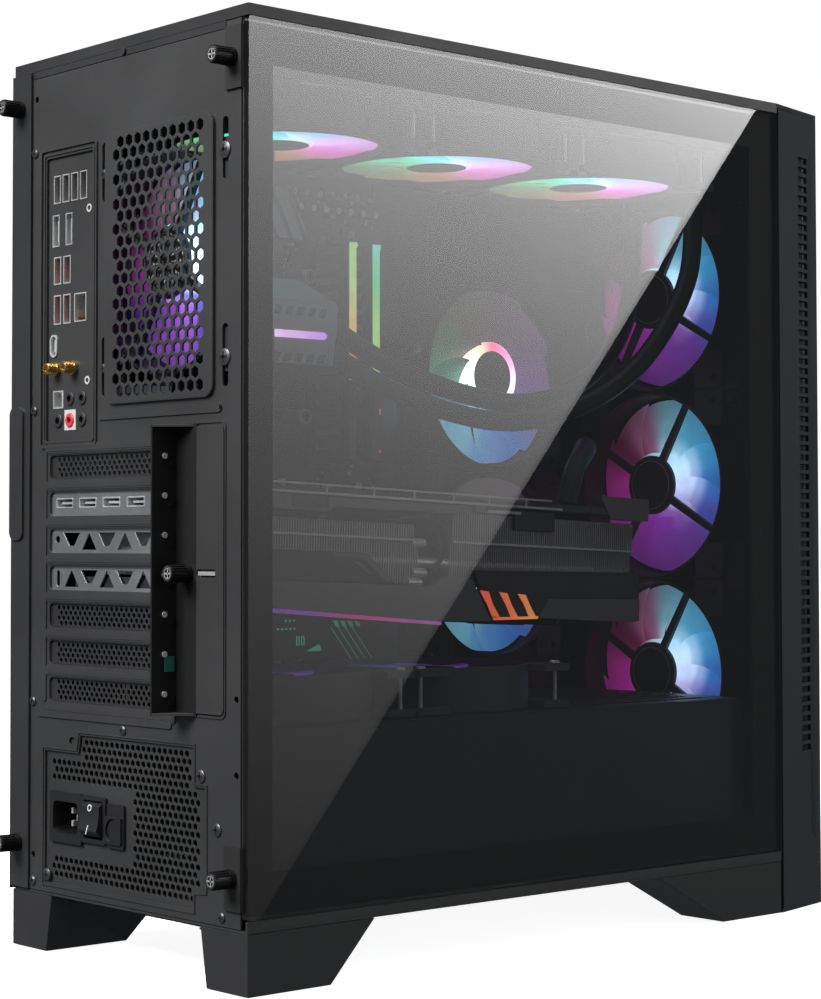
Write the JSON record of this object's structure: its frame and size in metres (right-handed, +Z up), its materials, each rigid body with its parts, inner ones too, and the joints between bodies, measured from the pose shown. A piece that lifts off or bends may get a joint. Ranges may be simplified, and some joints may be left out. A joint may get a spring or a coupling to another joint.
{
  "type": "desktop computer tower",
  "caption": "Desktop computer tower with a tinted glass side, lit fans, graphics card, tube-cooled processor and removable panels.",
  "frame": {"origin": "centre of the footprint box on the ground", "axes": "+Z up, -Y out of the front panel, -X out of the glass side"},
  "size_m": [0.211, 0.487, 0.495],
  "materials": {
    "black_plastic": "matte",
    "board_black": "solder mask",
    "bracket_steel": "brushed",
    "button_plastic": "satin",
    "cable_fabric": "braided",
    "card_plastic": "satin",
    "fin_aluminium": "mill",
    "foot_plastic": "matte",
    "heatsink_grey": "bead blasted",
    "memory_alloy": "anodised",
    "panel_black": "satin",
    "port_metal": "dark plated",
    "powder_black": "satin powder coat",
    "radiator_black": "black lacquer",
    "rotor_frost": "frosted, lit from inside",
    "screw_black": "black oxide",
    "tinted_glass": "tinted, polished",
    "tube_rubber": "braided sleeve"
  },
  "bodies": {
    "chassis": {"rear_panel": "powder_black", "floor_panel": "powder_black", "roof_frame": "powder_black", "motherboard_tray": "powder_black", "front_frame": "powder_black", "psu_shroud": "powder_black", "case_feet": "foot_plastic", "slot_covers": "powder_black", "rear_fan_frame": "black_plastic", "case_fan_frames": "black_plastic", "psu_case": "powder_black", "psu_inlet": "black_plastic", "card_board": "board_black", "card_heatsink": "fin_aluminium", "card_shroud": "card_plastic", "card_bracket": "bracket_steel", "motherboard": "board_black", "io_ports": "port_metal", "board_heatsinks": "heatsink_grey", "memory_sticks": "memory_alloy", "pump_block": "heatsink_grey", "radiator": "radiator_black", "coolant_tube_inner": "tube_rubber", "coolant_tube_outer": "tube_rubber", "card_cable": "cable_fabric", "board_cable": "cable_fabric", "case_screws": "screw_black"},
    "glass_door": {"glass_pane": "tinted_glass", "glass_frame": "panel_black"},
    "steel_door": {"side_panel": "panel_black"},
    "lid": {"top_cover": "panel_black"},
    "fascia": {"front_shell": "panel_black", "front_mesh": "panel_black", "front_ports": "black_plastic"},
    "clamp": {"slot_clamp": "powder_black"},
    "filter": {"bottom_filter": "black_plastic"},
    "power_button": {"power_button": "button_plastic"},
    "reset_button": {"reset_button": "button_plastic"},
    "psu_button": {"psu_button": "button_plastic"},
    "psu_rocker": {"psu_rocker": "black_plastic"},
    "clamp_thumbscrew": {"clamp_thumbscrew": "screw_black"},
    "glass_thumbscrew_upper": {"glass_thumbscrew_upper": "screw_black"},
    "glass_thumbscrew_lower": {"glass_thumbscrew_lower": "screw_black"},
    "side_thumbscrew_upper": {"side_thumbscrew_upper": "screw_black"},
    "side_thumbscrew_lower": {"side_thumbscrew_lower": "screw_black"},
    "rear_fan_rotor": {"rear_fan_rotor": "rotor_frost"},
    "front_rotor_1": {"front_rotor_1": "rotor_frost"},
    "front_rotor_2": {"front_rotor_2": "rotor_frost"},
    "front_rotor_3": {"front_rotor_3": "rotor_frost"},
    "top_rotor_1": {"top_rotor_1": "rotor_frost"},
    "top_rotor_2": {"top_rotor_2": "rotor_frost"},
    "top_rotor_3": {"top_rotor_3": "rotor_frost"},
    "side_rotor_1": {"side_rotor_1": "rotor_frost"},
    "side_rotor_2": {"side_rotor_2": "rotor_frost"},
    "low_rotor_1": {"low_rotor_1": "rotor_frost"},
    "low_rotor_2": {"low_rotor_2": "rotor_frost"},
    "psu_rotor": {"psu_rotor": "black_plastic"},
    "card_rotor_1": {"card_rotor_1": "black_plastic"},
    "card_rotor_2": {"card_rotor_2": "black_plastic"},
    "card_rotor_3": {"card_rotor_3": "black_plastic"}
  },
  "joints": [
    {"name": "glass_door_slide", "type": "slide", "parent": "chassis", "child": "glass_door", "axis": [0, 1, 0], "range_m": [0, 0.44]},
    {"name": "steel_door_slide", "type": "slide", "parent": "chassis", "child": "steel_door", "axis": [0, 1, 0], "range_m": [0, 0.44]},
    {"name": "lid_lift", "type": "slide", "parent": "chassis", "child": "lid", "axis": [0, 0, 1], "range_m": [0, 0.03]},
    {"name": "fascia_pull", "type": "slide", "parent": "chassis", "child": "fascia", "axis": [0, -1, 0], "range_m": [0, 0.06]},
    {"name": "clamp_pull", "type": "slide", "parent": "chassis", "child": "clamp", "axis": [0, 1, 0], "range_m": [0, 0.03]},
    {"name": "filter_slide", "type": "slide", "parent": "chassis", "child": "filter", "axis": [0, 1, 0], "range_m": [0, 0.17]},
    {"name": "power_button_press", "type": "slide", "parent": "fascia", "child": "power_button", "axis": [0, 0, -1], "range_m": [0, 0.0012], "stiffness_N_per_m": 400},
    {"name": "reset_button_press", "type": "slide", "parent": "fascia", "child": "reset_button", "axis": [0, 0, -1], "range_m": [0, 0.0012], "stiffness_N_per_m": 300},
    {"name": "psu_button_press", "type": "slide", "parent": "chassis", "child": "psu_button", "axis": [0, -1, 0], "range_m": [0, 0.0015], "stiffness_N_per_m": 300},
    {"name": "psu_rocker_rock", "type": "hinge", "parent": "chassis", "child": "psu_rocker", "pos_m": [0.0261, 0.2225, 0.076], "axis": [1, 0, 0], "range_deg": [-16, 0]},
    {"name": "clamp_thumbscrew_turn", "type": "hinge", "parent": "clamp", "child": "clamp_thumbscrew", "pos_m": [-0.058, 0.2315, 0.209], "axis": [0, 1, 0], "continuous": true},
    {"name": "glass_thumbscrew_upper_turn", "type": "hinge", "parent": "glass_door", "child": "glass_thumbscrew_upper", "pos_m": [-0.094, 0.2315, 0.469], "axis": [0, 1, 0], "continuous": true},
    {"name": "glass_thumbscrew_lower_turn", "type": "hinge", "parent": "glass_door", "child": "glass_thumbscrew_lower", "pos_m": [-0.094, 0.2315, 0.0575], "axis": [0, 1, 0], "continuous": true},
    {"name": "side_thumbscrew_upper_turn", "type": "hinge", "parent": "steel_door", "child": "side_thumbscrew_upper", "pos_m": [0.0975, 0.2315, 0.469], "axis": [0, 1, 0], "continuous": true},
    {"name": "side_thumbscrew_lower_turn", "type": "hinge", "parent": "steel_door", "child": "side_thumbscrew_lower", "pos_m": [0.0975, 0.2315, 0.0575], "axis": [0, 1, 0], "continuous": true},
    {"name": "rear_fan_rotor_spin", "type": "hinge", "parent": "chassis", "child": "rear_fan_rotor", "pos_m": [-0.0347, 0.2065, 0.3707], "axis": [0, 1, 0], "continuous": true},
    {"name": "front_rotor_1_spin", "type": "hinge", "parent": "chassis", "child": "front_rotor_1", "pos_m": [-0.0025, -0.2035, 0.142], "axis": [0, 1, 0], "continuous": true},
    {"name": "front_rotor_2_spin", "type": "hinge", "parent": "chassis", "child": "front_rotor_2", "pos_m": [-0.0025, -0.2035, 0.262], "axis": [0, 1, 0], "continuous": true},
    {"name": "front_rotor_3_spin", "type": "hinge", "parent": "chassis", "child": "front_rotor_3", "pos_m": [-0.0025, -0.2035, 0.382], "axis": [0, 1, 0], "continuous": true},
    {"name": "top_rotor_1_spin", "type": "hinge", "parent": "chassis", "child": "top_rotor_1", "pos_m": [-0.0255, 0.1415, 0.45], "axis": [0, 0, 1], "continuous": true},
    {"name": "top_rotor_2_spin", "type": "hinge", "parent": "chassis", "child": "top_rotor_2", "pos_m": [-0.0255, 0.0215, 0.45], "axis": [0, 0, 1], "continuous": true},
    {"name": "top_rotor_3_spin", "type": "hinge", "parent": "chassis", "child": "top_rotor_3", "pos_m": [-0.0255, -0.0985, 0.45], "axis": [0, 0, 1], "continuous": true},
    {"name": "side_rotor_1_spin", "type": "hinge", "parent": "chassis", "child": "side_rotor_1", "pos_m": [0.0645, -0.1025, 0.211], "axis": [1, 0, 0], "continuous": true},
    {"name": "side_rotor_2_spin", "type": "hinge", "parent": "chassis", "child": "side_rotor_2", "pos_m": [0.0645, -0.1025, 0.331], "axis": [1, 0, 0], "continuous": true},
    {"name": "low_rotor_1_spin", "type": "hinge", "parent": "chassis", "child": "low_rotor_1", "pos_m": [-0.0255, 0.1515, 0.14], "axis": [0, 0, 1], "continuous": true},
    {"name": "low_rotor_2_spin", "type": "hinge", "parent": "chassis", "child": "low_rotor_2", "pos_m": [-0.0255, 0.0315, 0.14], "axis": [0, 0, 1], "continuous": true},
    {"name": "psu_rotor_spin", "type": "hinge", "parent": "chassis", "child": "psu_rotor", "pos_m": [0.0005, 0.1495, 0.045], "axis": [0, 0, 1], "continuous": true},
    {"name": "card_rotor_1_spin", "type": "hinge", "parent": "chassis", "child": "card_rotor_1", "pos_m": [-0.0065, 0.16662, 0.18977], "axis": [0, -0.0384, 0.9993], "continuous": true},
    {"name": "card_rotor_2_spin", "type": "hinge", "parent": "chassis", "child": "card_rotor_2", "pos_m": [-0.0065, 0.06069, 0.18571], "axis": [0, -0.0384, 0.9993], "continuous": true},
    {"name": "card_rotor_3_spin", "type": "hinge", "parent": "chassis", "child": "card_rotor_3", "pos_m": [-0.0065, -0.04523, 0.18164], "axis": [0, -0.0384, 0.9993], "continuous": true}
  ]
}
